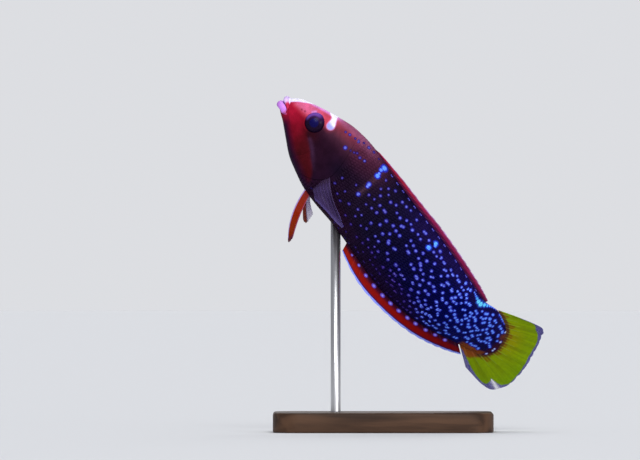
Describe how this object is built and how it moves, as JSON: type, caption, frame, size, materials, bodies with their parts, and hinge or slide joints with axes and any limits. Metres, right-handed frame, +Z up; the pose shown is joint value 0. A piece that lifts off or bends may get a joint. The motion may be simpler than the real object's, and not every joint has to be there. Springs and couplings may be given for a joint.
{
  "type": "red coris wrasse model on display stand",
  "caption": "Slender sea fish with a pointed head, low back fin, long belly fin and fan tail bent to one side, held nose up on a rod over a flat base.",
  "frame": {"origin": "centre of the underside of the stand's base, on the surface it stands on", "axes": "+Z up; the fish swims head up towards -X, its left side faces -Y, and its tail bends towards +Y"},
  "size_m": [0.0816, 0.0561, 0.101],
  "materials": {
    "head_skin": "moist red fish skin, darker towards the throat",
    "flank_skin": "moist dark violet fish skin with small pale blue spots",
    "stalk_skin": "moist dark blue fish skin with close pale blue spots",
    "lip_skin": "pale lilac lip skin",
    "eye": "wet, dark navy",
    "dorsal_membrane": "red fin with a bluish pink edge",
    "anal_membrane": "dark red fin with a blue white edge",
    "caudal_membrane": "yellow fin with clear bluish corners",
    "pectoral_membrane": "thin, clear, mauve",
    "pelvic_membrane": "orange red fin with pale edges",
    "base_wood": "dark stained, satin",
    "rod_metal": "fine brushed"
  },
  "bodies": {
    "root": {"head": "head_skin", "trunk": "flank_skin", "tail_stalk": "stalk_skin", "lip_upper": "lip_skin", "lip_lower": "lip_skin", "eye_left": "eye", "eye_right": "eye", "dorsal_fin": "dorsal_membrane", "anal_fin": "anal_membrane", "caudal_fin": "caudal_membrane", "pectoral_fin_left": "pectoral_membrane", "pectoral_fin_right": "pectoral_membrane", "pelvic_fin_left": "pelvic_membrane", "pelvic_fin_right": "pelvic_membrane", "stand_base": "base_wood", "stand_rod": "rod_metal"}
  },
  "joints": []
}
